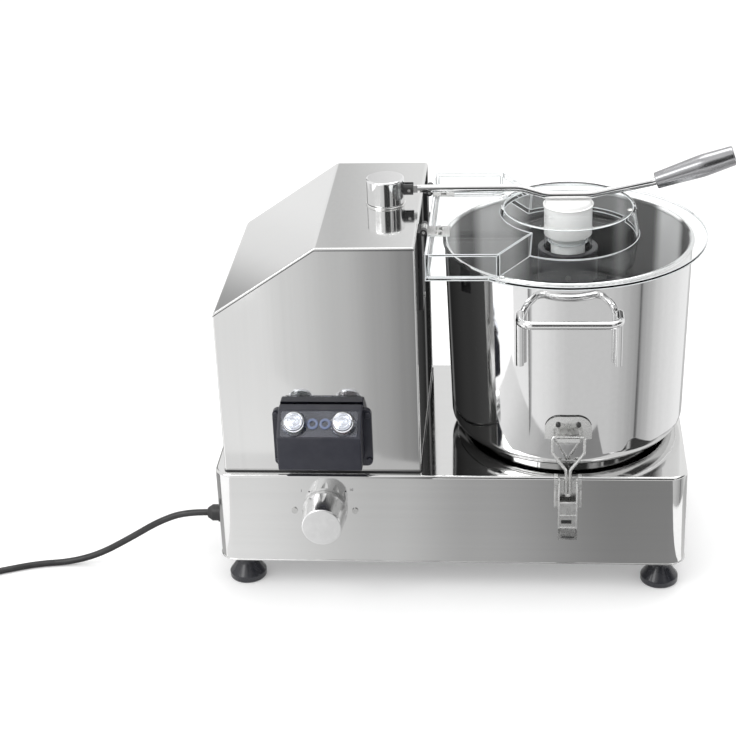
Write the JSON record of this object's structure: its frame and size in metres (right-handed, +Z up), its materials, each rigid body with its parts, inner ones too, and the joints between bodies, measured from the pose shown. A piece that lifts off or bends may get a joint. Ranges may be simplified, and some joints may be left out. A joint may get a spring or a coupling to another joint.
{
  "type": "bowl cutter",
  "caption": "Tabletop bowl cutter: a steel drive base with a motor housing, a round bowl with sickle blades, a clear hinged lid under a swing arm, side latches and a mains cord.",
  "frame": {"origin": "on the standing surface, below the middle of the machine without its cord", "axes": "+X from the motor housing to the bowl, +Y from the front with the switches to the back, +Z up"},
  "size_m": [0.924, 0.3234, 0.4418],
  "materials": {
    "base_steel": "satin stainless steel sheet",
    "housing_steel": "satin stainless steel sheet",
    "inner_steel": "machined steel",
    "switch_black": "matt dark moulding",
    "black_plastic": "matt black moulding",
    "start_green": "glossy",
    "stop_red": "glossy",
    "clear_boot": "clear flexible boot",
    "knob_metal": "turned and polished",
    "screw_steel": "bright",
    "motor_paint": "grey paint",
    "cast_alloy": "machined casting",
    "belt_rubber": "matt",
    "hub_grey": "satin",
    "blade_steel": "ground",
    "bowl_chrome": "mirror polished stainless steel",
    "lid_clear": "clear polycarbonate",
    "cap_white": "white moulding",
    "hinge_steel": "satin",
    "hinge_black": "matt black",
    "ring_steel": "bright",
    "arm_chrome": "bright chrome",
    "grip_steel": "polished",
    "knuckle_black": "blackened",
    "handle_steel": "polished rod",
    "latch_steel": "bright steel",
    "foot_rubber": "matt black rubber",
    "cord_black": "matt black sheath",
    "plug_black": "matt black moulding"
  },
  "bodies": {
    "base": {"arm_bush": "ring_steel", "base_shell": "base_steel", "bearing_tower": "cast_alloy", "bottom_plate": "inner_steel", "bowl_shell": "bowl_chrome", "case_screws": "screw_steel", "catch_rivets": "screw_steel", "cord_coil": "cord_black", "cord_gland": "black_plastic", "cord_plug": "plug_black", "drive_belt": "belt_rubber", "foot_front_left": "foot_rubber", "foot_front_right": "foot_rubber", "foot_rear_left": "foot_rubber", "foot_rear_right": "foot_rubber", "front_bowl_handle": "handle_steel", "front_catch": "latch_steel", "front_latch_base": "latch_steel", "hinge_brackets": "hinge_black", "hinge_pins": "screw_steel", "housing_shell": "housing_steel", "latch_pins": "screw_steel", "motor_body": "motor_paint", "power_cord": "cord_black", "rear_bowl_handle": "handle_steel", "rear_catch": "latch_steel", "rear_latch_base": "latch_steel", "shaft_bearings": "inner_steel", "speed_regulator": "black_plastic", "switch_body": "switch_black", "switch_cover": "clear_boot", "switch_flange": "switch_black"},
    "motor_rotor": {"motor_shaft": "inner_steel", "drive_pulley": "cast_alloy"},
    "blade_set": {"blade_shaft": "inner_steel", "driven_pulley": "cast_alloy", "blade_hub": "hub_grey", "lower_blade": "blade_steel", "upper_blade": "blade_steel", "blade_spacer": "hub_grey", "hub_screw": "screw_steel"},
    "arm_pivot": {"arm_head": "arm_chrome", "arm_knuckle": "knuckle_black", "arm_swing_pin": "inner_steel", "lift_pin": "screw_steel"},
    "arm": {"arm_rod": "arm_chrome", "arm_grip": "grip_steel"},
    "lid": {"lid_shell": "lid_clear", "lid_cap": "cap_white", "lid_leaves": "hinge_steel", "lid_leaf_screws": "screw_steel"},
    "speed_dial": {"speed_knob": "knob_metal", "knob_spindle": "inner_steel"},
    "start_key": {"start_button": "start_green"},
    "stop_key": {"stop_button": "stop_red"},
    "front_lever": {"front_latch_lever": "latch_steel"},
    "front_bail": {"front_latch_bail": "latch_steel"},
    "rear_lever": {"rear_latch_lever": "latch_steel"},
    "rear_bail": {"rear_latch_bail": "latch_steel"}
  },
  "joints": [
    {"name": "motor_spin", "type": "hinge", "parent": "base", "child": "motor_rotor", "pos_m": [-0.1515, 0, 0.1377], "axis": [0, 0, 1], "continuous": true},
    {"name": "blade_spin", "type": "hinge", "parent": "base", "child": "blade_set", "pos_m": [0.0987, 0, 0.1377], "axis": [0, 0, 1], "continuous": true},
    {"name": "arm_swing", "type": "hinge", "parent": "base", "child": "arm_pivot", "pos_m": [-0.0865, 0, 0.3848], "axis": [0, 0, 1], "range_deg": [0, 110]},
    {"name": "arm_lift", "type": "hinge", "parent": "arm_pivot", "child": "arm", "pos_m": [-0.06205, 0, 0.4], "axis": [0, -1, 0], "range_deg": [0, 82.5]},
    {"name": "lid_open", "type": "hinge", "parent": "base", "child": "lid", "pos_m": [-0.0445, 0, 0.3785], "axis": [0, -1, 0], "range_deg": [0, 75]},
    {"name": "speed_knob_turn", "type": "hinge", "parent": "base", "child": "speed_dial", "pos_m": [-0.1498, -0.129, 0.0965], "axis": [0, -1, 0], "range_deg": [0, 270]},
    {"name": "start_press", "type": "slide", "parent": "base", "child": "start_key", "axis": [0, 0.6905, -0.7234], "range_m": [0, 0.003], "stiffness_N_per_m": 400},
    {"name": "stop_press", "type": "slide", "parent": "base", "child": "stop_key", "axis": [0, 0.6905, -0.7234], "range_m": [0, 0.003], "stiffness_N_per_m": 400},
    {"name": "front_latch_open", "type": "hinge", "parent": "base", "child": "front_lever", "pos_m": [0.0987, -0.1346, 0.137], "axis": [-1, 0, 0], "range_deg": [0, 90]},
    {"name": "front_bail_swing", "type": "hinge", "parent": "front_lever", "child": "front_bail", "pos_m": [0.0987, -0.1346, 0.12], "axis": [-1, 0, 0], "range_deg": [-70.2, 0]},
    {"name": "rear_latch_open", "type": "hinge", "parent": "base", "child": "rear_lever", "pos_m": [0.0987, 0.1346, 0.137], "axis": [1, 0, 0], "range_deg": [0, 90]},
    {"name": "rear_bail_swing", "type": "hinge", "parent": "rear_lever", "child": "rear_bail", "pos_m": [0.0987, 0.1346, 0.12], "axis": [1, 0, 0], "range_deg": [-70.2, 0]}
  ],
  "couplings": [
    {"joint": "blade_spin", "follows": "motor_spin", "ratio": 1},
    {"joint": "arm_lift", "follows": "lid_open", "ratio": 1.1},
    {"joint": "front_bail_swing", "follows": "front_latch_open", "ratio": -0.78},
    {"joint": "rear_bail_swing", "follows": "rear_latch_open", "ratio": -0.78}
  ]
}
